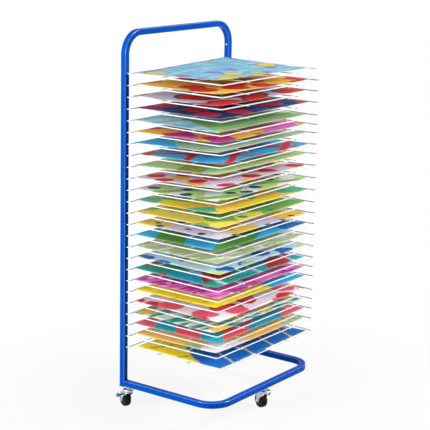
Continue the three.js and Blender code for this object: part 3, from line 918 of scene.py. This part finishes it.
for name in castor_names:
    points, faces = extruded(leg_outline, -leg_outer - spare, leg_outer + spare)
    rough = blank("fork_side", [Vector((p.z, p.x, p.y)) for p in points], faces)
    worked(rough, blank("fork_plan", *extruded(hood_outline, 0.0, 0.06)), "INTERSECT")
    rounded_top(rough, hood_top, hood_round, 4)
    space = blank("wheel_space", *extruded(space_outline, 0.0, hood_under))
    worked(rough, rounded_top(space, hood_under, hood_inner_round, 3), "DIFFERENCE")
    lock_leg = lock_place + Vector((lock_sides[name] * leg_outer, 0, 0))
    for radius, reach, where in (
        (king_hole, 0.03, Matrix.Translation((0, 0, hood_under))),
        (axle_hole, 0.03, Matrix.Translation((0, trail, wheel_radius)) @ sideways),
        (lock_hole, 0.008, Matrix.Translation(lock_leg) @ sideways),
    ):
        points, faces = extruded(round_ring(radius, 24), -reach, reach)
        worked(rough, blank("drill", [where @ p for p in points], faces), "DIFFERENCE")
    pressed = rough.data
    pressed.transform(castor_places[name])
    bpy.data.objects.remove(rough)
    body = f"castor_{name}_swivel"
    fork = placed(f"pressed_fork_{name}", pressed, bright_zinc, body, f"castor_{name}_fork")
    broken = fork.modifiers.new("broken_edges", "BEVEL")
    broken.width = broken_edge
    broken.segments = 2
    broken.limit_method = "ANGLE"
    broken.angle_limit = math.radians(50)


# Wheels: a black moulded hub with ribs in its recess, and a rubber tyre pressed over its rim.
# A plated bolt with a washer under its head runs through the legs and the hub, with a nut on its far end.
def rubber_surface(surface):
    place = surface.make("TexCoord", output="Object")
    dust = surface.make("TexNoise", None, {"Vector": place, "Scale": 120.0, "Detail": 5.0})
    grain = surface.make("TexNoise", None, {"Vector": place, "Scale": 1800.0, "Detail": 2.0})
    return {
        "Base Color": blended(surface, dust, tint("#020203"), tint("#0a0a0b")),
        "Roughness": 0.5 + 0.3 * dust,
        "Normal": surface.make("Bump", None, {"Strength": 0.25, "Distance": 0.0001, "Height": grain}),
    }


black_rubber = finished("black_rubber", {"IOR": 1.5, "Specular IOR Level": 0.12}, rubber_surface)

half_tyre = [(0.0148, 0.0078), (0.0153, 0.0086), (0.0162, 0.009), (0.0175, 0.009), (0.0179, 0.0087)]
half_tyre += [(0.0188, 0.0087), (0.0192, 0.0089), (0.0204, 0.0086), (0.0216, 0.0078), (0.0224, 0.0067)]
half_tyre += [(0.0228, 0.0052), (0.0229, 0.0033), (0.0229, 0.0004), (0.023, 0.0)]
tyre_profile = half_tyre + [(radius, -across) for radius, across in reversed(half_tyre[:-1])]
tyre_profile.append(tyre_profile[0])
half_hub = [(0.0033, 0.0112), (0.0062, 0.0112), (0.0066, 0.0108), (0.0069, 0.004), (0.0078, 0.0033)]
half_hub += [(0.0111, 0.0033), (0.0119, 0.004), (0.0122, 0.0076), (0.0126, 0.008), (0.0141, 0.008)]
half_hub.append((0.0145, 0.0076))
hub_profile = half_hub + [(radius, -across) for radius, across in reversed(half_hub)]
hub_profile.append(hub_profile[0])
bolt_profile = [(0.0, -0.0149), (0.0052, -0.0149), (0.0055, -0.0147), (0.0055, -0.014), (0.0053, -0.0138)]
bolt_profile += [(0.003, -0.0138), (0.003, 0.0192), (0.0024, 0.0198), (0.0, 0.0198)]
nut_profile = [(0.0032, 0.0138), (0.0047, 0.0138), (0.0052, 0.0141), (0.0052, 0.018), (0.0047, 0.0183)]
nut_profile += [(0.0032, 0.0183)]
nut_profile.append(nut_profile[0])
rib_count = 6
rib_outline = [(0.0064, -0.0007), (0.0123, -0.0007), (0.0123, 0.0007), (0.0064, 0.0007)]
rib_reach = 0.0068
hub_parts = [turned(hub_profile, 48)]
for i in range(rib_count):
    spin = Matrix.Rotation(2 * math.pi * (i + 0.5) / rib_count, 4, "Z")
    points, faces = extruded(rib_outline, -rib_reach, rib_reach)
    hub_parts.append(([spin @ p for p in points], faces))
head_points, head_faces = hexagon(0.0052, 0.0149, 0.0173, 0.0006)
bolt_head = ([Vector((p.x, -p.y, -p.z)) for p in head_points], head_faces)

for name in castor_names:
    place = castor_places[name] @ Matrix.Translation((0, trail, wheel_radius)) @ sideways
    castor = f"castor_{name}_"
    points, faces = turned(tyre_profile, 72)
    tyre = [place @ p for p in points]
    piece(f"rubber_tyre_{name}", tyre, faces, black_rubber, castor + "wheel", castor + "tyre")

    points, faces = joined(hub_parts)
    hub = [place @ p for p in points]
    piece(f"ribbed_hub_{name}", hub, faces, black_plastic, castor + "wheel", castor + "hub")

    points, faces = joined([turned(bolt_profile, 24), bolt_head])
    bolt = [place @ p for p in points]
    piece(f"axle_bolt_{name}", bolt, faces, bright_zinc, castor + "swivel", castor + "axle")

    points, faces = turned(nut_profile, 6)
    nut = [place @ p for p in points]
    node = castor + "axle_nut"
    piece(f"axle_nut_{name}", nut, faces, bright_zinc, castor + "swivel", node, crease=20.0)


# Wheel locks: a steel pin with a ball knob, pushed in through one leg against the side of the tyre.
# The ball is blued steel, and a black sleeve covers the pin between the ball and the leg.
def blued_steel_surface(surface):
    place = surface.make("TexCoord", output="Object")
    bloom = surface.make("TexNoise", None, {"Vector": place, "Scale": 220.0, "Detail": 3.0})
    return {
        "Base Color": blended(surface, bloom, tint("#44566c"), tint("#667a92")),
        "Roughness": 0.3 + 0.15 * bloom,
    }


blued_steel = finished("blued_steel", {"Metallic": 0.85}, blued_steel_surface)

ball_reach = 0.0265
ball_radius = 0.006
lock_profile = [(0.0, leg_inner), (0.0017, leg_inner), (0.0021, leg_inner + 0.0005), (0.0021, 0.0206)]
for step in range(15):
    angle = math.radians(22 + 11.3 * step)
    lock_profile.append((ball_radius * math.sin(angle), ball_reach - ball_radius * math.cos(angle)))
lock_profile.append((0.0, ball_reach + ball_radius))
sleeve_profile = [(0.0022, 0.0138), (0.0025, 0.0138), (0.0025, 0.0146), (0.0023, 0.0151)]
sleeve_profile += [(0.0023, 0.0192), (0.0025, 0.0197), (0.0025, 0.0206), (0.0022, 0.0206)]
sleeve_profile.append(sleeve_profile[0])

for name in castor_names:
    outward = Matrix.Rotation(lock_sides[name] * math.pi / 2, 4, "Y")
    place = castor_places[name] @ Matrix.Translation(lock_place) @ outward
    body = f"castor_{name}_lock"
    points, faces = turned(lock_profile, 32)
    knob = [place @ p for p in points]
    piece(f"lock_knob_{name}", knob, faces, blued_steel, body, body)
    points, faces = turned(sleeve_profile, 32)
    sleeve = [place @ p for p in points]
    piece(f"lock_sleeve_{name}", sleeve, faces, black_plastic, body, None)


# Floor and light: a pale studio floor that runs out to white, under broad soft lamps.
# The camera stands to the left of the front, a little above the middle of the rack, with a long lens.
def in_view(surface):
    """One for what the camera sees, in a mirror or through glass too, and nought for other light."""
    seen = surface.make("LightPath", output="Is Camera Ray")
    mirrored = surface.make("LightPath", output="Is Glossy Ray")
    through = surface.make("LightPath", output="Is Transmission Ray")
    return seen + mirrored + through


floor_reach = 9.0
floor_corners = [(x * floor_reach, y * floor_reach, 0.0) for x, y in ((-1, -1), (1, -1), (1, 1), (-1, 1))]
floor_mesh = bpy.data.meshes.new("studio_floor")
floor_mesh.from_pydata(floor_corners, [], [(0, 1, 2, 3)])
floor = bpy.data.objects.new("studio_floor", floor_mesh)
bpy.context.scene.collection.objects.link(floor)
floor_material = bpy.data.materials.new("pale_floor")
floor_material.use_nodes = True
floor_tree = floor_material.node_tree
floor_shader = floor_tree.nodes["Principled BSDF"]
floor_shader.inputs["Roughness"].default_value = 0.8
floor_shader.inputs["Specular IOR Level"].default_value = 0.1
floor_start = Shade(floor_tree)
place = floor_start.make("TexCoord", output="Object")
speckle = floor_start.make("TexNoise", None, {"Vector": place, "Scale": 40.0, "Detail": 3.0})
floor_colour = blended(floor_start, speckle, (0.62, 0.62, 0.62, 1), (0.66, 0.66, 0.66, 1))
floor_tree.links.new(floor_colour.socket, floor_shader.inputs["Base Color"])
far = floor_start.make("VectorMath", {"operation": "LENGTH"}, {0: place}, "Value")
fading = {"Value": far, "From Min": 0.1, "From Max": 0.95, "To Min": 0.84}
faded = floor_start.make("MapRange", None, fading)
white = floor_start.make("Emission", None, {"Color": (1, 1, 1, 1), "Strength": 1.0})
bare_floor = Shade(floor_tree, floor_shader.outputs[0])
mixing = {0: faded * in_view(floor_start), 1: bare_floor, 2: white}
mixed = floor_start.make("MixShader", None, mixing)
floor_tree.links.new(mixed.socket, floor_tree.nodes["Material Output"].inputs["Surface"])
floor_mesh.materials.append(floor_material)

world = bpy.data.worlds.new("studio")
bpy.context.scene.world = world
world.use_nodes = True
room_light = 0.08
backdrop = world.node_tree.nodes["Background"]
backdrop.inputs["Color"].default_value = (1, 1, 1, 1)
level = room_light + (1 - room_light) * in_view(Shade(world.node_tree))
world.node_tree.links.new(level.socket, backdrop.inputs["Strength"])


rack_middle = Vector((0, 0, 0.6))


def soft_lamp(name, place, size, power):
    """A round lamp that faces the middle of the rack."""
    lamp = bpy.data.lights.new(name, "AREA")
    lamp.shape = "DISK"
    lamp.size = size
    lamp.energy = power
    holder = bpy.data.objects.new(name, lamp)
    bpy.context.scene.collection.objects.link(holder)
    holder.location = place
    holder.rotation_euler = (rack_middle - Vector(place)).to_track_quat("-Z", "Y").to_euler()


soft_lamp("key_lamp", (-4.2, 1.2, 1.9), 1.8, 240.0)
soft_lamp("front_lamp", (2.1, -3.0, 2.5), 1.8, 205.0)
soft_lamp("back_lamp", (-0.9, 2.3, 3.2), 1.6, 12.0)

bearing = math.radians(-54.13)
height = math.radians(12.665)
lean = math.radians(1.176)
distance = 4.18176
aim = rack_middle + Vector((0, upright_front - 0.162, 0))
right = Vector((math.cos(bearing), math.sin(bearing), 0))
ahead = Vector((math.sin(bearing), -math.cos(bearing), 0))
back = ahead * math.cos(height) + Vector((0, 0, math.sin(height)))
up = back.cross(right)
leaning_right = right * math.cos(lean) + up * math.sin(lean)
leaning_up = up * math.cos(lean) - right * math.sin(lean)
lens = bpy.data.cameras.new("photo_camera")
lens.sensor_width = 36.0
lens.lens = 117.17
lens.shift_x = -0.0169
lens.shift_y = -0.0211
camera = bpy.data.objects.new("photo_camera", lens)
bpy.context.scene.collection.objects.link(camera)
facing = Matrix((leaning_right, leaning_up, back)).transposed().to_4x4()
camera.matrix_world = Matrix.Translation(aim + back * distance) @ facing
bpy.context.scene.camera = camera
bpy.context.scene.view_settings.view_transform = "Standard"
